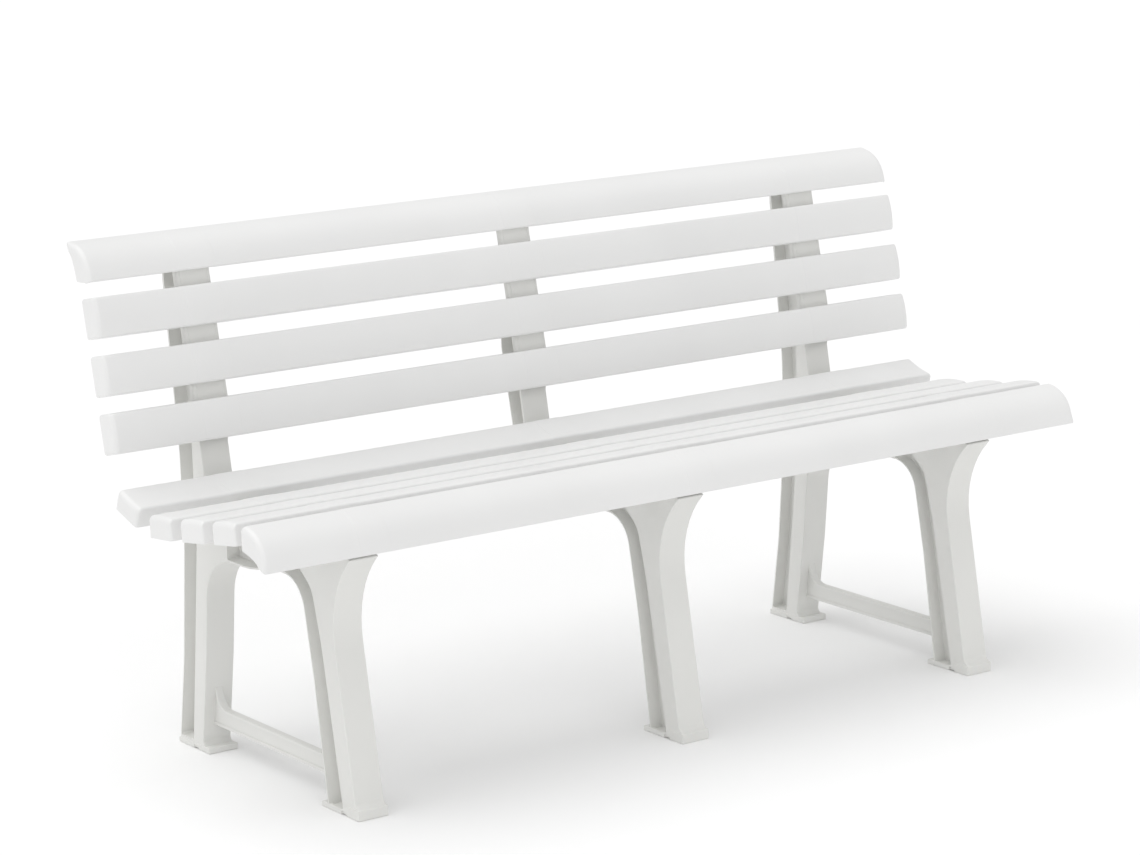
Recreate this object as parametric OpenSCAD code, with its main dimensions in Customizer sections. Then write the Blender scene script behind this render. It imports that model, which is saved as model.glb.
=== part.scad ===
// Three-seat garden bench in moulded plastic.
// Two end frames and a middle support carry five seat slats and four back slats.
// Length runs along X, the front faces -Y and +Z is up.
// The origin is on the ground, under the middle of the bench.

/* [Bench] */
// Length of every slat
slat_length = 1450; // [1300:10:1600]
// Distance from the middle support to the centre of each end frame
support_spacing = 553; // [480:1:600]

/* [Slats] */
// Width of a flat slat
slat_width = 56; // [52:1:58]
// Depth of a slat from its face to the edges of its flanges
slat_depth = 30; // [26:1:32]
// Wall thickness of the slats
slat_wall = 3; // [2:0.5:4]
// Radius where a slat's face meets its end
end_radius = 8; // [4:1:10]

/* [Supports] */
// Width of the legs and seat rails
leg_width = 46; // [40:1:48]
// Width of the plate that faces the back slats
plate_width = 56; // [52:1:60]
// Thickness of the web in the middle of each support
web_thickness = 5; // [4:1:8]
// Thickness of the thin flanges at the edges of the web
rim = 3; // [2.5:0.5:6]
// Width of the foot pads
pad_width = 48; // [48:1:60]

/* [Hidden] */

white = [0.93, 0.93, 0.92];
fit = 0.3;           // clearance between a slat and what it sits on
overshoot = 1;       // extra length of a cut, so that it leaves no skin

half_slat = slat_width / 2;
flare = 0.5;         // the flanges of a slat stand this much wider than its face

// Where a slat's notches meet its support, measured down from its face
seat_saddle = 15;
back_saddle = 17;

// Flat seat slats: [y, z of the middle of the face, rise toward the rear in degrees, crown]
seat_4 = [-143.3, 418, -8.8, 2];
seat_3 = [-61.9, 405.4, -8.2, 2];
seat_2 = [19.6, 394.4, -5.5, 2];
seat_rear = [99.3, 405.2, 18.3, -2];

// The plates' front faces lie in one plane, which leans back
recline = 13;
plate_foot = [152.3, 484.8];
plate_thickness = 12;
thin_plate_thickness = 11;
bracket_tail = 8;    // depth left behind the thin plate's face where the bracket has tapered away
back_pitch = 79.8;
back_crown = 3.5;

// Crescent slats: [y, z of the thick edge's outer corner, y, z of the tip]
nose_corners = [-192, 423.4, -245, 369];
cap_corners = [185.5, 691, 245, 740];
crescent_bulge = 15.5;
crescent_hollow = 3;
heel = 32 * [cos(-46.8), sin(-46.8)];    // inner corner of the thick edge
mouth = [[12, -12], [8, -14]];           // how far the hollow's cut reaches out of the open side

// Where the front slat rests on the rails, and the notch in its thick edge: [y of its middle, width, height]
nose_rest = 407.4;
nose_notch = [-190, 20, 40];
nose_peg = [-206, 9, 7];                 // [y, width, height] of the peg behind its lip

// Rear opening of the top back slat, which lets the uprights in
cap_opening = [[260, 715], [260, 660]];
cap_seat = [190, 220];                   // stretch of the plates that the top slat sits on

// Blocks on the supports that fit inside the slats
saddle_clearance = 7;                    // from a slat's face to the top of the block
saddle_side = 4;                         // narrower than the support on each side
saddle_play = 2;                         // narrower than the slat's hollow on each side
saddle_sink = 2;                         // sunk into the support

// Cross ribs inside the slats
rib_gap = 6;
rib_thickness = 2.5;
rib_height = 24;

// Foot pads: [front edge, rear edge, height of the front block, middle of the notch in each side]
front_pad = [-226, -136, 15, -190];
rear_pad = [156, 238.6, 9, 191];
pad_plate = 7.5;     // thickness of a pad behind its front block
pad_notch = [13, 5.5, 5];

// Slot in the top of a front pad, at the foot of the thin flange: [rear edge, length, width, floor]
pad_slot = [-152.5, 11, 16, 1.5];

// Concave flare where a front leg meets its pad
pad_flare = [
    [-225, 14, 0], [-217.5, 18, 9], [-212.5, 42, 0], [-200, 42, 0], [-200, 5, 0], [-225, 5, 0]
];

stretcher_bottom = 38;
stretcher_top = 64;
stretcher_width = 12;
stretcher_web = 8;
stretcher_lip = 5;

/* ---- outlines ---- */

// Arc that rounds the corner at b, where each point is [y, z, radius]
function unit(v) = v / norm(v);
function corner_arc(a, b, c) =
    let (
        p = [b[0], b[1]],
        u = unit([a[0], a[1]] - p),
        v = unit([c[0], c[1]] - p),
        half = acos(min(1, max(-1, u * v))) / 2
    )
    b[2] == 0 ? [p] :
    let (
        centre = p + unit(u + v) * b[2] / sin(half),
        start = p + u * b[2] / tan(half) - centre,
        stop = p + v * b[2] / tan(half) - centre,
        first = atan2(start[1], start[0]),
        turn = atan2(cross(start, stop), start * stop),
        steps = max(1, ceil(abs(turn) / 9))
    )
    [for (i = [0 : steps]) centre + b[2] * [cos(first + turn * i / steps), sin(first + turn * i / steps)]];

function outline(points) =
    let (n = len(points))
    [for (i = [0 : n - 1]) each corner_arc(points[(i + n - 1) % n], points[i], points[(i + 1) % n])];

// A point of a slat: u along its width and v out of its face
function on_slat(place, u, v) =
    [place[0] + u * cos(place[2]) - v * sin(place[2]), place[1] + u * sin(place[2]) + v * cos(place[2])];

// A point on a back plate: up along its face and out toward the front
function on_back(up, out) =
    [plate_foot[0] + up * sin(recline) - out * cos(recline), plate_foot[1] + up * cos(recline) + out * sin(recline)];

function with_radius(p, r) = [p[0], p[1], r];

function back_place(row) =
    let (p = on_back(row * back_pitch, back_saddle))
    [p[0], p[1], 90 - recline, back_crown];

// Top of the seat rail, from front to rear, with a flat under each slat
rail_top = [
    for (place = [seat_4, seat_3, seat_2, seat_rear], side = [-1, 1])
        with_radius(on_slat(place, side * half_slat, -seat_saddle), 0)
];

// The front face of the leg ends in a step just under the front slat
front_leg_top = [
    [-219, pad_plate, 0], [-162, 304, 134], [-217.5, 357.8, 1.5], [-211, 359.5, 0], [-211, 390, 8],
    [-206, nose_rest, 0]
];

leg_knee = [[-122, 172, 250], [-93, 308, 50]];

// Space between the legs of an end frame, open at the ground
leg_gap = concat(
    [[-154, -20, 0]], leg_knee,
    [[-30, 307, 80], [36, 294.5, 200], [145.5, 294.5, 66], [158, 140, 200], [178, -20, 0]]
);

// Space behind the leg of the middle support, up to its back bracket
rear_gap = concat(
    [[-154, -20, 0]], leg_knee,
    [[-30, 308, 80], [60, 330, 200], [169, 352, 60], [206, 512, 50], [206, 548, 20],
     with_radius(on_back(100, -bracket_tail), 60), with_radius(on_back(260, -bracket_tail), 0),
     [400, 760, 0], [400, -20, 0]]
);

back_root = [[147, 405, 5], [156, 450, 0]];
plate_top = 240;
upright_top = [
    with_radius(on_back(plate_top - 16, 0), 5), [214, 720, 6], [238, 716, 8], [245, 695, 10], [245, 672, 60]
];

// Whole side view of a support, before the space under the rail is taken away
support_side = concat(
    front_leg_top, rail_top, back_root,
    [with_radius(on_back(-20, -6), 0), with_radius(on_back(60, -6), 0)], upright_top,
    [[214, 430, 300], [209, 300, 250], [220, 130, 300], [236.5, pad_plate, 0]]
);

// Recess in the side of the front leg and of the seat rail
rail_recess = concat(
    [[-188, 5, 0], [-143, 226, 150], [-122, 300, 40], [-90, 326, 12], [-90, 366, 6]],
    [for (p = [on_slat(seat_3, -10, -24), on_slat(seat_2, 28, -24)]) with_radius(p, 20)],
    [[92, 371, 6], [92, 290, 0], [0, 250, 0], [-130, 5, 0]]
);

// Recess in the side of the rear leg and of the upright, behind the front flange
rear_recess = [
    [199, 12, 3], [187, 145, 200], [174, 298, 100], [178, 440, 100],
    with_radius(on_back(10, -plate_thickness - 7), 20), with_radius(on_back(45, -plate_thickness), 30),
    with_radius(on_back(215, -plate_thickness), 6),
    [241.5, 692, 4], [211, 430, 300], [206, 300, 250], [217, 130, 300], [232.5, 12, 3]
];

// Recess in the side of the middle support's back bracket
bracket_recess = [
    [145, 376, 6], [151, 405, 0], [160, 450, 40], with_radius(on_back(0, -thin_plate_thickness), 0),
    with_radius(on_back(62, -thin_plate_thickness), 4), [240, 543, 0], [240, 376, 0]
];

/* ---- shared shapes ---- */

// Extrudes a side view along X, centred on the support
module side(width) {
    rotate([90, 0, 90])
        linear_extrude(height = width, center = true)
            children();
}

// Cuts a side view into both faces of a support and leaves its web
module both_recesses(width) {
    depth = (width - web_thickness) / 2;
    for (face = [-1, 1])
        translate([face * (web_thickness / 2 + (depth + overshoot) / 2), 0, 0])
            side(depth + overshoot)
                children();
}

// Plate that the back slats sit on, rounded at its lower end
module back_plate(thickness) {
    side(plate_width)
        polygon(outline([
            with_radius(on_back(-22, 0), 3),
            with_radius(on_back(plate_top - 16, 0), 5),
            with_radius(on_back(plate_top - 4, -8), 3),
            with_radius(on_back(plate_top - 14, -thickness), 2),
            with_radius(on_back(-14, -thickness), 3)
        ]));
}

// Raised block that fits inside a slat
module saddle(place, depth, width) {
    low = depth + saddle_sink;
    block = slat_width - 2 * slat_wall - 2 * saddle_play;
    translate([0, place[0], place[1]])
        rotate([place[2], 0, 0])
            translate([0, 0, -(low + saddle_clearance) / 2])
                cube([width - 2 * saddle_side, block, low - saddle_clearance], center = true);
}

module seat_saddles() {
    for (place = [seat_4, seat_3, seat_2, seat_rear])
        saddle(place, seat_saddle, leg_width);
    side(leg_width - 2 * saddle_side)
        translate([nose_peg[0], nose_rest - overshoot])
            square([nose_peg[1], nose_peg[2]]);
}

module back_saddles() {
    for (row = [0 : 2])
        saddle(back_place(row), back_saddle, plate_width);
}

// Foot pad: a thin plate with a higher block at its front and a notch in each side
module foot_pad(span) {
    block_end = span[3] + pad_notch[0] / 2;
    difference() {
        side(pad_width)
            polygon([
                [span[0], 0], [span[1], 0], [span[1], pad_plate], [block_end, pad_plate],
                [block_end - pad_notch[0], span[2] - 1], [span[0], span[2]]
            ]);
        for (face = [-1, 1])
            translate([face * (pad_width + overshoot - pad_notch[2]) / 2, span[3], pad_notch[1] / 2 - overshoot])
                cube([pad_notch[2] + overshoot, pad_notch[0], pad_notch[1] + 2 * overshoot], center = true);
    }
}

// Pad of a front leg, with the flare above it and a slot at each side of the web
module front_foot() {
    slot = pad_slot;
    difference() {
        foot_pad(front_pad);
        for (face = [-1, 1])
            translate([face * (slot[2] + web_thickness) / 2, slot[0] - slot[1] / 2, slot[3] + pad_plate / 2])
                cube([slot[2], slot[1], pad_plate], center = true);
    }
    side(leg_width)
        polygon(outline(pad_flare));
}

// Bar between the legs, with a lip along its top and bottom and a gusset on the rear leg
module stretcher() {
    tall = [
        [-150, stretcher_bottom, 0], [-150, stretcher_top, 0],
        [154, stretcher_top + 1, 27], [167, 104, 0], [176, 60, 0], [176, stretcher_bottom, 0]
    ];
    side(stretcher_web)
        polygon(outline(tall));
    side(stretcher_width)
        difference() {
            polygon(outline(tall));
            offset(delta = -stretcher_lip)
                polygon(outline(tall));
        }
}

/* ---- supports ---- */

module end_frame() {
    difference() {
        side(leg_width)
            difference() {
                polygon(outline(support_side));
                polygon(outline(leg_gap));
            }
        both_recesses(leg_width)
            difference() {
                polygon(outline(rail_recess));
                offset(r = rim)
                    polygon(outline(leg_gap));
            }
        both_recesses(leg_width)
            polygon(outline(rear_recess));
    }
    back_plate(plate_thickness);
    seat_saddles();
    back_saddles();
    stretcher();
    front_foot();
    foot_pad(rear_pad);
}

module center_support() {
    difference() {
        side(leg_width)
            difference() {
                polygon(outline(support_side));
                polygon(outline(rear_gap));
            }
        both_recesses(leg_width)
            difference() {
                polygon(outline(rail_recess));
                offset(r = rim)
                    polygon(outline(rear_gap));
            }
        both_recesses(leg_width)
            difference() {
                polygon(outline(bracket_recess));
                offset(r = rim)
                    polygon(outline(rear_gap));
            }
    }
    back_plate(thin_plate_thickness);
    seat_saddles();
    back_saddles();
    front_foot();
}

module left_end_frame() {
    color(white)
        translate([-support_spacing, 0, 0])
            end_frame();
}

module middle_support() {
    color(white)
        center_support();
}

module right_end_frame() {
    color(white)
        translate([support_spacing, 0, 0])
            end_frame();
}

/* ---- slats ---- */

// Section of a flat slat, with its face on the line v = 0 and its crown above or below it
module flat_section(crown) {
    steps = 12;
    bow = [for (i = [0 : steps]) let (t = 2 * i / steps - 1) [t * (half_slat - 2), crown * (1 - t * t)]];
    polygon(concat(
        [[-half_slat - flare, -slat_depth], [-half_slat, -2]], bow,
        [[half_slat, -2], [half_slat + flare, -slat_depth]]
    ));
}

// Inside of a flat slat, open at the flanges' edges
module flat_hollow(crown) {
    offset(delta = -slat_wall)
        union() {
            flat_section(crown);
            translate([-half_slat - flare, -slat_depth - 2 * slat_wall])
                square([slat_width + 2 * flare, 2 * slat_wall + overshoot]);
        }
}

// Section of a crescent slat: u runs from the thick edge's outer corner to the tip
module crescent_section(chord) {
    steps = 16;
    bow = [for (i = [0 : steps]) let (t = i / steps) [t * chord, 4 * crescent_bulge * t * (1 - t)]];
    toe = [chord - 1.7, -2];
    hollow = [
        for (i = [0 : steps / 2])
            let (t = 2 * i / steps)
            toe + t * (heel - toe) + [0, 4 * crescent_hollow * t * (1 - t)]
    ];
    polygon(concat(bow, hollow));
}

// Inside of a crescent slat, open on its hollow side
module crescent_inside(chord) {
    offset(delta = -slat_wall)
        union() {
            crescent_section(chord);
            polygon([[chord - 1.5, -0.5], heel, heel + mouth[0], [chord, 0] + mouth[1]]);
        }
}

// Envelope that rounds the ends of a slat where they meet its face and its long edges
module rounded_ends(low, high, left, right) {
    half = slat_length / 2;
    margin = 10;
    intersection() {
        rotate([90, 0, 0])
            translate([0, 0, -right - margin])
                linear_extrude(height = right - left + 2 * margin)
                    polygon(outline([
                        [-half, low - margin, 0], [-half, high, end_radius],
                        [half, high, end_radius], [half, low - margin, 0]
                    ]));
        translate([0, 0, low - margin])
            linear_extrude(height = high - low + 2 * margin)
                polygon(outline([
                    [-half, left, end_radius / 2], [-half, right, end_radius / 2],
                    [half, right, end_radius / 2], [half, left, end_radius / 2]
                ]));
    }
}

// Cross ribs at both sides of each support, with more between them
rib_places = [
    for (end = [-1, 1], x = [
        plate_width / 2 + rib_gap, support_spacing / 3, support_spacing * 2 / 3,
        support_spacing - plate_width / 2 - rib_gap, support_spacing + plate_width / 2 + rib_gap,
        (support_spacing + slat_length / 2 + plate_width / 2) / 2
    ]) end * x
];
module ribs(width) {
    for (x = rib_places)
        translate([x, 0, 0])
            cube([rib_thickness, width, rib_height], center = true);
}

support_places = [-support_spacing, 0, support_spacing];

module flat_slat(place, saddle_depth, support_width) {
    crown = place[3];
    color(white)
        translate([0, place[0], place[1]])
            rotate([place[2], 0, 0])
                difference() {
                    intersection() {
                        side(slat_length)
                            flat_section(crown);
                        rounded_ends(-slat_depth, max(0, crown), -half_slat - flare, half_slat + flare);
                    }
                    difference() {
                        side(slat_length - 2 * slat_wall)
                            flat_hollow(crown);
                        translate([0, 0, -rib_height / 2])
                            ribs(slat_width);
                    }
                    for (x = support_places)
                        translate([x, 0, -saddle_depth - slat_depth])
                            cube([support_width + 2 * fit, 2 * slat_width, 2 * slat_depth], center = true);
                }
}

// Crescent slat whose tip points to the front or the rear
module crescent_slat(corners) {
    run = corners[2] - corners[0];
    climb = corners[3] - corners[1];
    chord = norm([run, climb]);
    translate([0, corners[0], corners[1]])
        rotate([sign(run) * atan2(climb, abs(run)), 0, 0])
            mirror([0, run < 0 ? 1 : 0, 0])
                difference() {
                    intersection() {
                        side(slat_length)
                            crescent_section(chord);
                        rounded_ends(-norm(heel), crescent_bulge, 0, chord);
                    }
                    difference() {
                        side(slat_length - 2 * slat_wall)
                            crescent_inside(chord);
                        translate([0, chord / 2, 0])
                            ribs(chord);
                    }
                }
}

module seat_slat_front() {
    color(white)
        difference() {
            crescent_slat(nose_corners);
            for (x = support_places)
                translate([x, nose_notch[0], nose_rest - nose_notch[2] / 2])
                    cube([leg_width + 2 * fit, nose_notch[1], nose_notch[2]], center = true);
        }
}

module back_slat_top() {
    color(white)
        difference() {
            crescent_slat(cap_corners);
            for (x = support_places)
                translate([x, 0, 0])
                    side(plate_width + 2 * fit)
                        polygon(concat([for (up = cap_seat) on_back(up, fit)], cap_opening));
        }
}

module seat_slat_4() {
    flat_slat(seat_4, seat_saddle, leg_width);
}

module seat_slat_3() {
    flat_slat(seat_3, seat_saddle, leg_width);
}

module seat_slat_2() {
    flat_slat(seat_2, seat_saddle, leg_width);
}

module seat_slat_rear() {
    flat_slat(seat_rear, seat_saddle, leg_width);
}

module back_slat_bottom() {
    flat_slat(back_place(0), back_saddle, plate_width);
}

module back_slat_2() {
    flat_slat(back_place(1), back_saddle, plate_width);
}

module back_slat_3() {
    flat_slat(back_place(2), back_saddle, plate_width);
}

left_end_frame();
middle_support();
right_end_frame();
seat_slat_front();
seat_slat_4();
seat_slat_3();
seat_slat_2();
seat_slat_rear();
back_slat_bottom();
back_slat_2();
back_slat_3();
back_slat_top();
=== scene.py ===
import math

import bmesh
import bpy
from mathutils import Matrix, Vector


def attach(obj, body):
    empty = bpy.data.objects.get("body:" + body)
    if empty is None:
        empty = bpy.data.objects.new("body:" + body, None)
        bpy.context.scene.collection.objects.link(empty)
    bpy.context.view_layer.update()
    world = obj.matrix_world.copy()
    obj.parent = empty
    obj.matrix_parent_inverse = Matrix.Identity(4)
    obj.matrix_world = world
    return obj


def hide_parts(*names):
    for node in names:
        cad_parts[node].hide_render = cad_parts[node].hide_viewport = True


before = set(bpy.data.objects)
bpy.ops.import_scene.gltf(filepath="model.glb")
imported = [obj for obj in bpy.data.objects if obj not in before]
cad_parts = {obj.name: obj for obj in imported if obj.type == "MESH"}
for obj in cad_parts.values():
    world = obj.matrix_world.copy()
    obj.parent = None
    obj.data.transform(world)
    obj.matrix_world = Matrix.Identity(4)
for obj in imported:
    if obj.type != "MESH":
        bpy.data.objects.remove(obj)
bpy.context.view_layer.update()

MM = 0.001

# ---- camera, at the photo's viewing angle ----

CAMERA_PLACE = (-3.068, -4.033, 1.527)
CAMERA_YAW = math.radians(-36.81)
CAMERA_PITCH = math.radians(12.31)
CAMERA_ROLL = math.radians(-0.55)
SENSOR_WIDTH = 36.0
LENS_LENGTH = 112.77
FAR_CLIP = 200.0


def add_camera():
    forward = Vector((
        -math.sin(CAMERA_YAW) * math.cos(CAMERA_PITCH),
        math.cos(CAMERA_YAW) * math.cos(CAMERA_PITCH),
        -math.sin(CAMERA_PITCH),
    ))
    level = Vector((math.cos(CAMERA_YAW), math.sin(CAMERA_YAW), 0.0))
    upright = level.cross(forward)
    right = level * math.cos(CAMERA_ROLL) + upright * math.sin(CAMERA_ROLL)
    up = upright * math.cos(CAMERA_ROLL) - level * math.sin(CAMERA_ROLL)
    data = bpy.data.cameras.new("camera")
    data.sensor_fit = "HORIZONTAL"
    data.sensor_width = SENSOR_WIDTH
    data.lens = LENS_LENGTH
    data.clip_end = FAR_CLIP
    camera = bpy.data.objects.new("camera", data)
    turn = Matrix((right, up, -forward)).transposed().to_4x4()
    camera.matrix_world = Matrix.Translation(CAMERA_PLACE) @ turn
    bpy.context.scene.collection.objects.link(camera)
    bpy.context.scene.camera = camera


add_camera()

# ---- outlines: closed lists of corners, each (y, z, radius) in millimetres ----

ARC_STEP = 7.5
SMALLEST_RADIUS = 0.05


def corner_arc(before, corner, after):
    """The points that round one corner. A corner with no radius stays one point."""
    here = Vector(corner[:2])
    radius = corner[2]
    if radius == 0:
        return [here]
    u = (Vector(before[:2]) - here).normalized()
    v = (Vector(after[:2]) - here).normalized()
    half = math.acos(max(-1.0, min(1.0, u.dot(v)))) / 2
    centre = here + (u + v).normalized() * radius / math.sin(half)
    start = here + u * radius / math.tan(half) - centre
    stop = here + v * radius / math.tan(half) - centre
    first = math.atan2(start.y, start.x)
    turn = math.atan2(start.x * stop.y - start.y * stop.x, start.dot(stop))
    steps = max(2, round(abs(turn) / math.radians(ARC_STEP)))
    return [
        centre + radius * Vector((math.cos(first + turn * i / steps), math.sin(first + turn * i / steps)))
        for i in range(steps + 1)
    ]


def outline(corners):
    """The points of a closed outline, with its corners rounded."""
    count = len(corners)
    points = []
    for i, corner in enumerate(corners):
        points += corner_arc(corners[i - 1], corner, corners[(i + 1) % count])
    return points


def signed_area(corners):
    """Area of an outline, negative if it runs clockwise."""
    count = len(corners)
    return sum(
        corners[i][0] * corners[(i + 1) % count][1] - corners[(i + 1) % count][0] * corners[i][1]
        for i in range(count)
    ) / 2


def grow(corners, distance):
    """The same outline moved outward by a distance, or inward if it is negative."""
    side = 1 if signed_area(corners) > 0 else -1
    count = len(corners)
    grown = []
    for i, corner in enumerate(corners):
        here = Vector(corner[:2])
        inward = (here - Vector(corners[i - 1][:2])).normalized()
        outward = (Vector(corners[(i + 1) % count][:2]) - here).normalized()
        n1 = Vector((inward.y, -inward.x)) * side
        n2 = Vector((outward.y, -outward.x)) * side
        moved = here + (n1 + n2) * distance / (1 + n1.dot(n2))
        bend = (inward.x * outward.y - inward.y * outward.x) * side
        radius = corner[2]
        if radius > 0:
            radius = max(SMALLEST_RADIUS, radius + (distance if bend > 0 else -distance))
        grown.append((moved.x, moved.y, radius))
    return grown


# ---- mesh building ----

RIM_STEPS = 4
POCKET_STEPS = 3
BLOCK_EDGE = 0.6
MERGE_DISTANCE = 0.00001
SMOOTH_ANGLE = 32
FLAT_FACE_WEIGHT = 90


def new_object(name, bm):
    bmesh.ops.recalc_face_normals(bm, faces=bm.faces)
    mesh = bpy.data.meshes.new(name)
    bm.to_mesh(mesh)
    bm.free()
    made = bpy.data.objects.new(name, mesh)
    bpy.context.scene.collection.objects.link(made)
    return made


def add_loop(bm, x, points):
    return [bm.verts.new((x * MM, p[0] * MM, p[1] * MM)) for p in points]


def join_loops(bm, first, second):
    count = len(first)
    for i in range(count):
        j = (i + 1) % count
        bm.faces.new((first[i], first[j], second[j], second[i]))


def loop_edges(bm, loop):
    count = len(loop)
    found = [bm.edges.get((loop[i], loop[(i + 1) % count])) for i in range(count)]
    return [
        edge or bm.edges.new((loop[i], loop[(i + 1) % count])) for i, edge in enumerate(found)
    ]


def fill(bm, loops):
    """Flat face between an outer loop and the loops of its holes."""
    edges = []
    for loop in loops:
        edges += loop_edges(bm, loop)
    bmesh.ops.triangle_fill(bm, use_beauty=True, use_dissolve=False, edges=edges)


def loft(name, stations):
    """Solid through closed sections, each (x, points), with flat ends."""
    bm = bmesh.new()
    loops = [add_loop(bm, x, points) for x, points in stations]
    for first, second in zip(loops, loops[1:]):
        join_loops(bm, first, second)
    bm.faces.new(loops[0])
    bm.faces.new(loops[-1])
    return new_object(name, bm)


def round_over(radius, steps=RIM_STEPS):
    """Pairs of (distance along, distance in) through a quarter turn."""
    angles = [math.pi / 2 * i / steps for i in range(steps + 1)]
    return [(radius * (1 - math.sin(a)), radius * (1 - math.cos(a))) for a in angles]


def prism(name, corners, half, edge):
    """Side view extruded to both sides of x = 0, with its rims rounded."""
    rims = round_over(edge)
    stations = [(-half + along, outline(grow(corners, -inset))) for along, inset in reversed(rims)]
    stations += [(half - along, outline(grow(corners, -inset))) for along, inset in rims]
    return loft(name, stations)


def moulding(name, corners, half, edge, pockets, web, lip=0.8, root=2.0):
    """Side view extruded to both sides of x = 0, with pockets in both sides.

    A web is left between the pockets. The lip is the round at a pocket's mouth and the root is
    the one at its bottom.
    """
    bm = bmesh.new()
    rims = round_over(edge)
    stations = [(-half + along, inset) for along, inset in reversed(rims)]
    stations += [(half - along, inset) for along, inset in rims]
    loops = [add_loop(bm, x, outline(grow(corners, -inset))) for x, inset in stations]
    for first, second in zip(loops, loops[1:]):
        join_loops(bm, first, second)
    for side, rim in ((-1, loops[0]), (1, loops[-1])):
        mouths = []
        for pocket in pockets:
            steps = [(half - along, lip - inset) for inset, along in round_over(lip, POCKET_STEPS)]
            bottom = reversed(round_over(root, POCKET_STEPS))
            steps += [(web + along, -inset) for along, inset in bottom]
            rings = [add_loop(bm, side * x, outline(grow(pocket, out))) for x, out in steps]
            for first, second in zip(rings, rings[1:]):
                join_loops(bm, first, second)
            fill(bm, [rings[-1]])
            mouths.append(rings[0])
        fill(bm, [rim] + mouths)
    return new_object(name, bm)


def block(name, low, high):
    """Box between two corners in millimetres, with softened edges."""
    bm = bmesh.new()
    bmesh.ops.create_cube(bm, size=1.0)
    for vert in bm.verts:
        for axis in range(3):
            vert.co[axis] = (low[axis] if vert.co[axis] < 0 else high[axis]) * MM
    bmesh.ops.bevel(
        bm, geom=bm.edges[:], offset=BLOCK_EDGE * MM, segments=2, profile=0.5, affect="EDGES"
    )
    return new_object(name, bm)


def remove(thing):
    mesh = thing.data
    bpy.data.objects.remove(thing)
    bpy.data.meshes.remove(mesh)


def cut(base, tools):
    """Cuts solids from a base and removes them."""
    for tool in tools:
        modifier = base.modifiers.new("cut", "BOOLEAN")
        modifier.operation = "DIFFERENCE"
        modifier.solver = "MANIFOLD"
        modifier.object = tool
    apply_modifiers(base)
    for tool in tools:
        remove(tool)
    return base


def join(base, others):
    """Puts closed solids that sink into each other into one mesh."""
    bm = bmesh.new()
    bm.from_mesh(base.data)
    for other in others:
        bm.from_mesh(other.data)
        remove(other)
    bm.to_mesh(base.data)
    bm.free()
    return base


def apply_modifiers(thing):
    evaluated = thing.evaluated_get(bpy.context.evaluated_depsgraph_get())
    old = thing.data
    thing.data = bpy.data.meshes.new_from_object(evaluated)
    thing.data.name = thing.name
    thing.modifiers.clear()
    bpy.data.meshes.remove(old)


def finish_surface(thing):
    """Merges leftover points and gives smooth rounds beside flat faces."""
    bm = bmesh.new()
    bm.from_mesh(thing.data)
    bmesh.ops.remove_doubles(bm, verts=bm.verts[:], dist=MERGE_DISTANCE)
    bmesh.ops.dissolve_degenerate(bm, dist=MERGE_DISTANCE, edges=bm.edges[:])
    bmesh.ops.recalc_face_normals(bm, faces=bm.faces)
    bm.to_mesh(thing.data)
    bm.free()
    thing.data.shade_smooth()
    thing.data.set_sharp_from_angle(angle=math.radians(SMOOTH_ANGLE))
    modifier = thing.modifiers.new("weighted", "WEIGHTED_NORMAL")
    modifier.keep_sharp = True
    modifier.weight = FLAT_FACE_WEIGHT
    apply_modifiers(thing)
    return thing


# ---- the bench's measures in millimetres: the CAD part's, and finer ones for the looks ----

SLAT_LENGTH = 1450
SUPPORT_SPACING = 553
SUPPORTS = (-SUPPORT_SPACING, 0, SUPPORT_SPACING)
SLAT_WIDTH = 56
HALF_SLAT = SLAT_WIDTH / 2
SLAT_DEPTH = 30
SLAT_WALL = 3
FLARE = 0.5
END_RADIUS = 8
LEG_WIDTH = 46
PLATE_WIDTH = 56
WEB = 5
RIM = 3
FLANGE_EDGE = 1.4
LEG_END = 1.5
POCKET_END = 4.5
RAIL_POCKET_END = 92
PAD_WIDTH = 48
PAD_PLATE = 7.5
# Foot pads: length, height and depth of a notch; front, rear, height of the block and middle of
# the notch for each pad; rear, length, width and bottom of the slot.
PAD_NOTCH = (13, 5.5, 5)
FRONT_PAD = (-226, -136, 15, -190)
REAR_PAD = (156, 238.6, 9, 191)
PAD_SLOT = (-152.5, 11, 16, 1.5)
STRETCHER_WIDTH = 12
STRETCHER_LIP = 5
STRETCHER_WEB = 8
PLATE_EDGE = 4.5
PLATE_BEAD = 6
PLATE_LINE = 0.5
FIT = 0.3
SEAT_SADDLE = 15
BACK_SADDLE = 17
SADDLE_SIDE_GAP = 2
SADDLE_TOP = -7
SADDLE_INSET = 4
# Each flat slat's place: y and z of the middle of its face, its tilt in degrees and its crown.
SEAT_4 = (-143.3, 418, -8.8, 2)
SEAT_3 = (-61.9, 405.4, -8.2, 2)
SEAT_2 = (19.6, 394.4, -5.5, 2)
SEAT_REAR = (99.3, 405.2, 18.3, -2)
SEAT_PLACES = (SEAT_4, SEAT_3, SEAT_2, SEAT_REAR)
RECLINE = 13
PLATE_FOOT = (152.3, 484.8)
PLATE_TOP = 240
PLATE_THICKNESS = 12
THIN_PLATE_THICKNESS = 11
BRACKET_TAIL = 8
BACK_PITCH = 79.8
BACK_CROWN = 3.5
# Crescent slats: y and z of the long edge with the round corner, then of the other one.
NOSE_CORNERS = (-192, 423.4, -245, 369)
CAP_CORNERS = (185.5, 691, 245, 740)
NOSE_REST = 407.4
CRESCENT_BULGE = 15.5
CRESCENT_TIP = 0.9
HEEL_REACH = 32
HEEL_TURN = math.radians(-46.8)
HEEL = (HEEL_REACH * math.cos(HEEL_TURN), HEEL_REACH * math.sin(HEEL_TURN))


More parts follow.
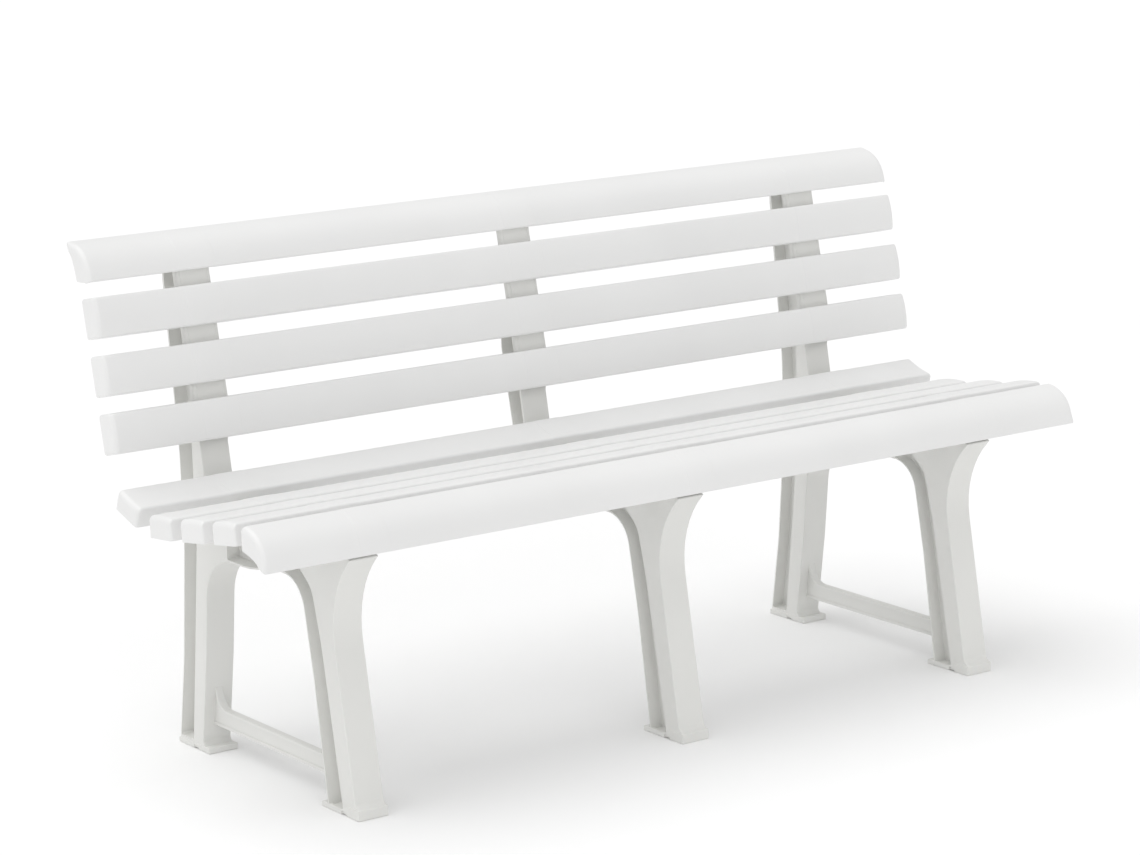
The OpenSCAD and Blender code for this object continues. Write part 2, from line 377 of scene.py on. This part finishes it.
def on_slat(place, u, v):
    """A point across (u) and out of (v) a flat slat's face, as (y, z)."""
    turn = math.radians(place[2])
    return (
        place[0] + u * math.cos(turn) - v * math.sin(turn),
        place[1] + u * math.sin(turn) + v * math.cos(turn),
    )


def on_back(up, out):
    """A point up along and out of the face of the back plates, as (y, z)."""
    turn = math.radians(RECLINE)
    return (
        PLATE_FOOT[0] + up * math.sin(turn) - out * math.cos(turn),
        PLATE_FOOT[1] + up * math.cos(turn) + out * math.sin(turn),
    )


def back_place(row):
    return (*on_back(row * BACK_PITCH, BACK_SADDLE), 90 - RECLINE, BACK_CROWN)


# ---- supports ----

LEG_KNEE = [(-122, 172, 250), (-93, 308, 50)]
LEG_GAP = [
    (-154, -20, 0), *LEG_KNEE, (-30, 307, 80), (36, 294.5, 200), (145.5, 294.5, 66), (158, 140, 200),
]
REAR_GAP = [
    (-154, -20, 0), *LEG_KNEE, (-30, 308, 80), (60, 330, 200), (169, 352, 60),
    (206, 512, 50), (206, 548, 20), (*on_back(100, -BRACKET_TAIL), 60),
]
LEG_FLARE = [(-224.5, LEG_END, 0), (-224.5, 14, 0), (-216.7, 20, 9)]
LEG_HEAD = [
    (-162, 304, 134), (-217.5, 357.8, 1.5), (-211, 359.5, 0), (-211, 390, 8), (-206, NOSE_REST, 0),
]
RAIL_TOP = [
    (*on_slat(place, side * HALF_SLAT, -SEAT_SADDLE), 0)
    for place in SEAT_PLACES
    for side in (-1, 1)
]
PLATE_ROOT = [(147, 405, 5), (156, 450, 0), (*on_back(-20, -6), 0), (*on_back(60, -6), 0)]
SUPPORT_FRONT = [(-149.8, LEG_END, 0), *LEG_FLARE, *LEG_HEAD, *RAIL_TOP, *PLATE_ROOT]
END_FRAME_SIDE = SUPPORT_FRONT + [
    (*on_back(PLATE_TOP - 16, -3), 3), (214, 720, 6), (238, 716, 8), (245, 695, 10), (245, 672, 60),
    (214, 430, 300), (209, 300, 250), (220, 130, 300), (237, LEG_END, 0),
    (168.5, LEG_END, 0), (168.5, 9, 0), (173.8, 13, 6), *LEG_GAP[:0:-1],
]
MIDDLE_SIDE = SUPPORT_FRONT + [
    (*on_back(PLATE_TOP - 16, -3), 1), (*on_back(PLATE_TOP - 6, -BRACKET_TAIL), 2), *REAR_GAP[:0:-1],
]

RAIL_POCKET_UPPER = [
    (-188, POCKET_END, 1), (-143, 226, 150), (-122, 300, 40), (-90, 326, 12), (-90, 366, 6),
    (*on_slat(SEAT_3, -10, -24), 20), (*on_slat(SEAT_2, 28, -24), 20), (RAIL_POCKET_END, 371, 6),
]


def rim_line(gap, last):
    """Lower edge of the rail's pocket, a rim's width outside the gap behind the front leg.

    It follows the gap's corners up to the one numbered last, and stops at RAIL_POCKET_END.
    """
    well_behind = [(400, 760, 0), (400, -20, 0)]
    line = grow(gap + well_behind, RIM)
    (y0, z0, r0), (y1, z1, r1) = line[0], line[1]
    foot = (y0 + (y1 - y0) * (POCKET_END - z0) / (z1 - z0), POCKET_END, 1)
    (y0, z0, r0), (y1, z1, r1) = line[last], line[last + 1]
    end = (RAIL_POCKET_END, z0 + (z1 - z0) * (RAIL_POCKET_END - y0) / (y1 - y0), 3)
    return [end] + line[last:0:-1] + [foot]


END_RAIL_POCKET = RAIL_POCKET_UPPER + rim_line(LEG_GAP, 4)
MIDDLE_RAIL_POCKET = RAIL_POCKET_UPPER + rim_line(REAR_GAP, 4)
REAR_POCKET = [
    (199, 12, 3), (187, 145, 200), (174, 298, 100), (178, 440, 100),
    (*on_back(10, -PLATE_THICKNESS - 7), 20), (*on_back(45, -PLATE_THICKNESS), 30),
    (*on_back(215, -PLATE_THICKNESS), 6),
    (241.5, 692, 4), (211, 430, 300), (206, 300, 250), (217, 130, 300), (232.5, 12, 3),
]
BRACKET_POCKET = [
    (146, 377, 4), (151, 405, 20), (160, 450, 40), (*on_back(0, -THIN_PLATE_THICKNESS - 1), 8),
    (*on_back(60, -THIN_PLATE_THICKNESS - 1), 4), (202.8, 543, 3), (202.8, 512, 47), (171.5, 377, 3),
]


def back_plate(name, thickness):
    """Plate under the back slats, with round edges and a fine line inside each of them."""
    corners = [
        (*on_back(-22, 0), 5), (*on_back(PLATE_TOP - 16, 0), 5), (*on_back(PLATE_TOP - 4, -8), 5),
        (*on_back(PLATE_TOP - 14, -thickness), 5), (*on_back(-14, -thickness), 5),
    ]
    half = PLATE_WIDTH / 2
    bead = half - PLATE_BEAD
    right = [(bead - PLATE_LINE, 0), (bead, PLATE_LINE), (bead + PLATE_LINE, 0)]
    right += [(half - along, inset) for along, inset in round_over(PLATE_EDGE)]
    stations = [(-x, inset) for x, inset in reversed(right)] + right
    return loft(name, [(x, outline(grow(corners, -inset))) for x, inset in stations])


def saddles(name):
    """Blocks that fit inside the flat slats, and the peg under the nose slat."""
    seats = [(place, SEAT_SADDLE, LEG_WIDTH) for place in SEAT_PLACES]
    backs = [(back_place(row), BACK_SADDLE, PLATE_WIDTH) for row in range(3)]
    half = HALF_SLAT - SLAT_WALL - SADDLE_SIDE_GAP
    made = []
    for place, depth, width in seats + backs:
        foot = -depth - 2
        corners = [
            (*on_slat(place, -half, SADDLE_TOP), 2), (*on_slat(place, half, SADDLE_TOP), 2),
            (*on_slat(place, half, foot), 2), (*on_slat(place, -half, foot), 2),
        ]
        made.append(prism(name, corners, width / 2 - SADDLE_INSET, 1))
    peg = [
        (-206, NOSE_REST - 1, 1), (-197, NOSE_REST - 1, 1),
        (-197, NOSE_REST + 6, 1), (-206, NOSE_REST + 6, 1),
    ]
    made.append(prism(name, peg, LEG_WIDTH / 2 - SADDLE_INSET, 0.6))
    return made


def foot_pad(name, front, rear, height, notch_middle):
    """Thin plate with a higher block at its front and a notch in each side."""
    length, tall, deep = PAD_NOTCH
    block_end = notch_middle + length / 2
    corners = [
        (front, 0, 0.8), (rear, 0, 0.8), (rear, PAD_PLATE, 1.5), (block_end, PAD_PLATE, 2),
        (block_end - length, height - 1, 3), (front, height, 1.8),
    ]
    pad = prism(name, corners, PAD_WIDTH / 2, 1.2)
    notches = []
    for side in (-1, 1):
        sides = sorted((side * (PAD_WIDTH / 2 - deep), side * (PAD_WIDTH / 2 + 3)))
        low = (sides[0], notch_middle - length / 2, -5)
        high = (sides[1], notch_middle + length / 2, tall)
        notches.append(block(name, low, high))
    return cut(pad, notches)


def front_foot(name):
    """Pad with a slot at each side of the web, at the foot of the thin flange."""
    rear, length, width, floor = PAD_SLOT
    slots = []
    for side in (-1, 1):
        sides = sorted((side * (WEB / 2 + 0.4), side * (WEB / 2 + width)))
        slots.append(block(name, (sides[0], rear - length, floor), (sides[1], rear, PAD_PLATE + 5)))
    return cut(foot_pad(name, *FRONT_PAD), slots)


def stretcher(name):
    """Bar between the legs, with a gusset at the rear leg and a shallow groove in each side."""
    corners = [(-147, 38, 0), (-147, 64, 0), (154, 65, 27), (167, 104, 0), (178, 60, 0), (178, 38, 0)]
    groove = grow(corners, -STRETCHER_LIP)
    return moulding(name, corners, STRETCHER_WIDTH / 2, 1.2, [groove], STRETCHER_WEB / 2, 0.5, 0.8)


def end_frame(name, x):
    pockets = [END_RAIL_POCKET, REAR_POCKET]
    body = moulding(name, END_FRAME_SIDE, LEG_WIDTH / 2, FLANGE_EDGE, pockets, WEB / 2)
    extra = [back_plate(name, PLATE_THICKNESS), stretcher(name)]
    extra += [front_foot(name), foot_pad(name, *REAR_PAD)]
    join(body, extra + saddles(name))
    body.data.transform(Matrix.Translation((x * MM, 0, 0)))
    return finish_surface(body)


def middle_support(name):
    pockets = [MIDDLE_RAIL_POCKET, BRACKET_POCKET]
    body = moulding(name, MIDDLE_SIDE, LEG_WIDTH / 2, FLANGE_EDGE, pockets, WEB / 2)
    extra = [back_plate(name, THIN_PLATE_THICKNESS), front_foot(name)]
    join(body, extra + saddles(name))
    return finish_surface(body)


# ---- slats ----

LONG_EDGE = 4
CROWN_STEPS = 12
CROWN_SPAN = 0.85
BOW_START = 0.08
BOW_END = 0.97
BOW_STEPS = 18
INNER_STEPS = 6
INNER_BULGE = 3
END_STEPS = 8
LIFT_DEPTH = 6
LIFT_FADE = 14
PAD_RISE = 0.6
PAD_RAMP = 1.5
RIB_THICKNESS = 2.5
RIB_HEIGHT = 24
RIB_GAP = 6
RIB_PLACES = [
    side * x
    for side in (-1, 1)
    for x in (
        PLATE_WIDTH / 2 + RIB_GAP, SUPPORT_SPACING / 3, SUPPORT_SPACING * 2 / 3,
        SUPPORT_SPACING - PLATE_WIDTH / 2 - RIB_GAP, SUPPORT_SPACING + PLATE_WIDTH / 2 + RIB_GAP,
        (SUPPORT_SPACING + SLAT_LENGTH / 2 + PLATE_WIDTH / 2) / 2,
    )
]


def end_drop(x, radius):
    """How far a rounded end has fallen away at x."""
    past = max(0.0, abs(x) - (SLAT_LENGTH / 2 - radius))
    return radius - math.sqrt(max(0.0, radius * radius - past * past))


def pad_height(x, half_width):
    """Height of the faintly raised pads where a slat sits on a support."""
    near = min(abs(x - s) for s in SUPPORTS)
    return PAD_RISE * max(0.0, min(1.0, (half_width - near) / PAD_RAMP + 0.5))


def slat_stations(half_width):
    """Places of a slat's sections: its middle, its rounded ends and the ramps of its pads."""
    end = SLAT_LENGTH / 2
    xs = {0.0}
    for i in range(END_STEPS + 1):
        xs.add(end - END_RADIUS + END_RADIUS * math.sin(math.pi / 2 * i / END_STEPS))
    for s in SUPPORTS[1:]:
        for side in (-1, 1):
            for along in (-0.5, 0.0, 0.5):
                xs.add(s + side * half_width + along * PAD_RAMP)
    xs |= {-x for x in xs}
    return sorted(xs)


def shaped(name, section, half_width, place):
    """Slat through a section of (u, v, falls) points.

    The points that fall follow the rounded ends down and rise with the pads.
    """
    low = min(p[0] for p in section)
    high = max(p[0] for p in section)
    middle = (low + high) / 2
    stations = []
    for x in slat_stations(half_width):
        drop = end_drop(x, END_RADIUS)
        pinch = end_drop(x, END_RADIUS / 2)
        rise = pad_height(x, half_width)
        narrow = 1 - pinch / ((high - low) / 2)
        points = []
        for u, v, falls in section:
            shift = (rise - drop) if falls else 0.0
            points.append(on_slat(place, middle + (u - middle) * narrow, v + shift))
        stations.append((x, points))
    return loft(name, stations)


def rib_walls(name, section):
    """Thin walls at the places of the ribs, through a section of (y, z) points."""
    half = RIB_THICKNESS / 2
    return [loft(name, [(x - half, section), (x + half, section)]) for x in RIB_PLACES]


def support_notches(name, section, width):
    """Blocks that clear each support, through a section of (y, z) points."""
    reach = width / 2 + FIT
    return [loft(name, [(s - reach, section), (s + reach, section)]) for s in SUPPORTS]


def flat_corners(crown):
    """Outline of a flat slat's section, with a slight crown and its feet flared."""
    half = HALF_SLAT
    bow = []
    for i in range(1, CROWN_STEPS):
        t = 2 * i / CROWN_STEPS - 1
        if abs(t) < CROWN_SPAN:
            bow.append((t * half, crown * (1 - t * t), 0))
    top = [(-half, 0, LONG_EDGE)] + bow + [(half, 0, LONG_EDGE)]
    return [(-half - FLARE, -SLAT_DEPTH, 0.8)] + top + [(half + FLARE, -SLAT_DEPTH, 0.8)]


def slat_box(place, reach, low, high):
    """Four corners across a slat, from one height to another, as (y, z)."""
    corners = ((-reach, low), (reach, low), (reach, high), (-reach, high))
    return [on_slat(place, u, v) for u, v in corners]


def flat_slat(name, place, saddle_depth, support_width):
    crown = place[3]
    corners = flat_corners(crown)
    section = [(p[0], p[1], p[1] > -SLAT_DEPTH / 2) for p in outline(corners)]
    slat = shaped(name, section, support_width / 2, place)
    inside = [(p[0], p[1] - (0 if p[1] > -SLAT_DEPTH + 1 else 8), p[2]) for p in corners]
    inside = [(*on_slat(place, u, v), r) for u, v, r in grow(inside, -SLAT_WALL)]
    hollow = prism(name, inside, SLAT_LENGTH / 2 - SLAT_WALL, 0.5)
    cut(hollow, rib_walls(name, slat_box(place, 40, -RIB_HEIGHT, 10)))
    notch = slat_box(place, 90, -saddle_depth - 2 * SLAT_DEPTH, -saddle_depth)
    cut(slat, [hollow] + support_notches(name, notch, support_width))
    return finish_surface(slat)


def crescent_place(corners):
    """Which way a crescent slat runs, its turn in radians and the distance between its edges."""
    run = corners[2] - corners[0]
    climb = corners[3] - corners[1]
    facing = 1 if run > 0 else -1
    return facing, math.atan2(climb, abs(run)), math.hypot(run, climb)


def on_crescent(corners, u, v):
    """A point along (u) and out of (v) the line between a crescent slat's edges, as (y, z)."""
    facing, turn, chord = crescent_place(corners)
    return (
        corners[0] + facing * (u * math.cos(turn) - v * math.sin(turn)),
        corners[1] + u * math.sin(turn) + v * math.cos(turn),
    )


def crescent_corners(chord):
    """Outline of a crescent slat's section: a bowed face, a thin tip and a heel."""
    bow = []
    for i in range(1, BOW_STEPS):
        t = i / BOW_STEPS
        if BOW_START < t < BOW_END:
            bow.append((t * chord, 4 * CRESCENT_BULGE * t * (1 - t), 0))
    inner = []
    for i in range(1, INNER_STEPS):
        t = i / INNER_STEPS
        bulge = 4 * INNER_BULGE * t * (1 - t)
        inner.append((chord - 1 + t * (HEEL[0] - chord + 1), -2 + t * (HEEL[1] + 2) + bulge, 0))
    tip = [(chord, 0, CRESCENT_TIP), (chord - 1, -2, CRESCENT_TIP)]
    return [(0, 0, 3)] + bow + tip + inner + [(*HEEL, 2)]


def crescent_slat(name, corners, support_width, notch):
    """Crescent slat with its hollow, its ribs and a notch over each support."""
    half_width = support_width / 2
    chord = crescent_place(corners)[2]
    section = outline(crescent_corners(chord))
    stations = []
    for x in slat_stations(half_width):
        drop = end_drop(x, END_RADIUS)
        rise = pad_height(x, half_width)
        pinch = end_drop(x, END_RADIUS / 2) / (chord / 2)
        loop = []
        for u, v in section:
            outer = max(0.0, min(1.0, (v + LIFT_DEPTH) / LIFT_DEPTH))
            lifted = outer * max(0.0, min(1.0, (chord - u) / LIFT_FADE))
            moved_u = chord / 2 + (u - chord / 2) * (1 - pinch)
            loop.append(on_crescent(corners, moved_u, v + (rise - drop) * lifted))
        stations.append((x, loop))
    slat = loft(name, stations)
    inside = grow(crescent_corners(chord), -SLAT_WALL)
    mouth = [(chord + 8, -14, 0), (HEEL[0] + 12, HEEL[1] - 12, 0)]
    edge = [c for c in inside if c[1] > -3 and c[0] < chord - 8]
    wall = edge + mouth + [(HEEL[0] + 2, HEEL[1] + 3.5, 0)]
    wall = [(*on_crescent(corners, u, v), r) for u, v, r in wall]
    hollow = prism(name, wall, SLAT_LENGTH / 2 - SLAT_WALL, 0.5)
    rib = [on_crescent(corners, u, v) for u, v in ((-9, -12), (chord, -12), (chord, 30), (-9, 30))]
    cut(hollow, rib_walls(name, rib))
    cut(slat, [hollow] + support_notches(name, notch, support_width))
    return finish_surface(slat)


def seat_slat_front(name):
    low = NOSE_REST - 40
    notch = [(-200, low), (-180, low), (-180, NOSE_REST), (-200, NOSE_REST)]
    return crescent_slat(name, NOSE_CORNERS, LEG_WIDTH, notch)


def back_slat_top(name):
    notch = [on_back(190, FIT), on_back(220, FIT), (260, 715), (260, 660)]
    return crescent_slat(name, CAP_CORNERS, PLATE_WIDTH, notch)


# ---- materials ----

def plastic(name, colour, roughness, grain):
    """White moulded plastic: fine grain, soft waves from moulding and faint scuffs along the bench."""
    material = bpy.data.materials.new(name)
    material.use_nodes = True
    nodes = material.node_tree.nodes
    links = material.node_tree.links
    nodes.clear()
    output = nodes.new("ShaderNodeOutputMaterial")
    shader = nodes.new("ShaderNodeBsdfPrincipled")
    links.new(shader.outputs["BSDF"], output.inputs["Surface"])
    place = nodes.new("ShaderNodeTexCoord")

    def noise(scale, detail, stretch=(1, 1, 1)):
        mapping = nodes.new("ShaderNodeMapping")
        mapping.inputs["Scale"].default_value = stretch
        links.new(place.outputs["Object"], mapping.inputs["Vector"])
        texture = nodes.new("ShaderNodeTexNoise")
        texture.inputs["Scale"].default_value = scale
        texture.inputs["Detail"].default_value = detail
        links.new(mapping.outputs["Vector"], texture.inputs["Vector"])
        return texture.outputs["Fac"]

    def ramp(source, low, high, first, last):
        node = nodes.new("ShaderNodeMapRange")
        node.inputs["From Min"].default_value = low
        node.inputs["From Max"].default_value = high
        node.inputs["To Min"].default_value = first
        node.inputs["To Max"].default_value = last
        links.new(source, node.inputs["Value"])
        return node.outputs["Result"]

    cloud = noise(5.0, 3.0)
    tint = nodes.new("ShaderNodeMix")
    tint.data_type = "RGBA"
    tint.inputs["A"].default_value = (*[c * 0.975 for c in colour], 1)
    tint.inputs["B"].default_value = (*colour, 1)
    links.new(ramp(cloud, 0.35, 0.65, 0.0, 1.0), tint.inputs["Factor"])
    links.new(tint.outputs["Result"], shader.inputs["Base Color"])

    scuffs = noise(60.0, 4.0, (0.08, 1, 1))
    links.new(ramp(scuffs, 0.3, 0.75, roughness - 0.05, roughness + 0.07), shader.inputs["Roughness"])
    shader.inputs["IOR"].default_value = 1.49

    waves = nodes.new("ShaderNodeBump")
    waves.inputs["Strength"].default_value = 0.35
    waves.inputs["Distance"].default_value = 0.0006
    links.new(noise(22.0, 1.0, (0.25, 1, 1)), waves.inputs["Height"])
    fine = nodes.new("ShaderNodeBump")
    fine.inputs["Strength"].default_value = grain
    fine.inputs["Distance"].default_value = 0.00005
    links.new(noise(1300.0, 2.0), fine.inputs["Height"])
    links.new(waves.outputs["Normal"], fine.inputs["Normal"])
    links.new(fine.outputs["Normal"], shader.inputs["Normal"])
    return material


SLAT_PLASTIC = plastic("slat_plastic", (0.84, 0.84, 0.835), 0.36, 0.25)
# Painted shade: the frame plastic is the same white as the slat plastic, but its base colour is a shade
# darker to darken the legs. Its higher roughness and coarser grain are the frame's own.
FRAME_PLASTIC_PAINTED_SHADE = plastic("frame_plastic", (0.8, 0.8, 0.775), 0.45, 0.4)


def place_piece(piece, node, material):
    piece.data.materials.clear()
    piece.data.materials.append(material)
    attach(piece, "root")
    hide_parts(node)


for node, x in (("left_end_frame", -SUPPORT_SPACING), ("right_end_frame", SUPPORT_SPACING)):
    place_piece(end_frame("moulded_" + node, x), node, FRAME_PLASTIC_PAINTED_SHADE)
place_piece(middle_support("moulded_middle_support"), "middle_support", FRAME_PLASTIC_PAINTED_SHADE)

FLAT_SLATS = {
    "seat_slat_4": (SEAT_4, SEAT_SADDLE, LEG_WIDTH),
    "seat_slat_3": (SEAT_3, SEAT_SADDLE, LEG_WIDTH),
    "seat_slat_2": (SEAT_2, SEAT_SADDLE, LEG_WIDTH),
    "seat_slat_rear": (SEAT_REAR, SEAT_SADDLE, LEG_WIDTH),
    "back_slat_bottom": (back_place(0), BACK_SADDLE, PLATE_WIDTH),
    "back_slat_2": (back_place(1), BACK_SADDLE, PLATE_WIDTH),
    "back_slat_3": (back_place(2), BACK_SADDLE, PLATE_WIDTH),
}
for node, (place, depth, width) in FLAT_SLATS.items():
    place_piece(flat_slat("moulded_" + node, place, depth, width), node, SLAT_PLASTIC)
place_piece(seat_slat_front("moulded_seat_slat_front"), "seat_slat_front", SLAT_PLASTIC)
place_piece(back_slat_top("moulded_back_slat_top"), "back_slat_top", SLAT_PLASTIC)

# ---- floor and light ----

FLOOR_SIZE = 60.0
FLOOR_DROP = 0.0002


def add_floor():
    bm = bmesh.new()
    bmesh.ops.create_grid(bm, x_segments=1, y_segments=1, size=FLOOR_SIZE)
    floor = new_object("floor", bm)
    floor.location.z = -FLOOR_DROP
    material = bpy.data.materials.new("floor")
    material.use_nodes = True
    shader = material.node_tree.nodes["Principled BSDF"]
    shader.inputs["Base Color"].default_value = (0.98, 0.98, 0.98, 1)
    shader.inputs["Roughness"].default_value = 0.9
    shader.inputs["Specular IOR Level"].default_value = 0.1
    floor.data.materials.append(material)


def add_lamp(energy, angle, direction):
    """Soft light from a direction, given as a vector toward the light."""
    sun = bpy.data.lights.new("sun", "SUN")
    sun.energy = energy
    sun.angle = math.radians(angle)
    lamp = bpy.data.objects.new("sun", sun)
    lamp.rotation_euler = Vector(direction).to_track_quat("Z", "Y").to_euler()
    bpy.context.scene.collection.objects.link(lamp)


def add_light():
    world = bpy.data.worlds.new("world")
    world.use_nodes = True
    sky = world.node_tree.nodes["Background"]
    sky.inputs["Color"].default_value = (1, 1, 1, 1)
    sky.inputs["Strength"].default_value = 0.66
    bpy.context.scene.world = world
    add_lamp(1.2, 60, (-0.3, 0.15, 0.93))
    add_lamp(0.3, 40, (-0.3, -0.8, 0.55))


add_floor()
add_light()
bpy.context.scene.view_settings.view_transform = "Standard"
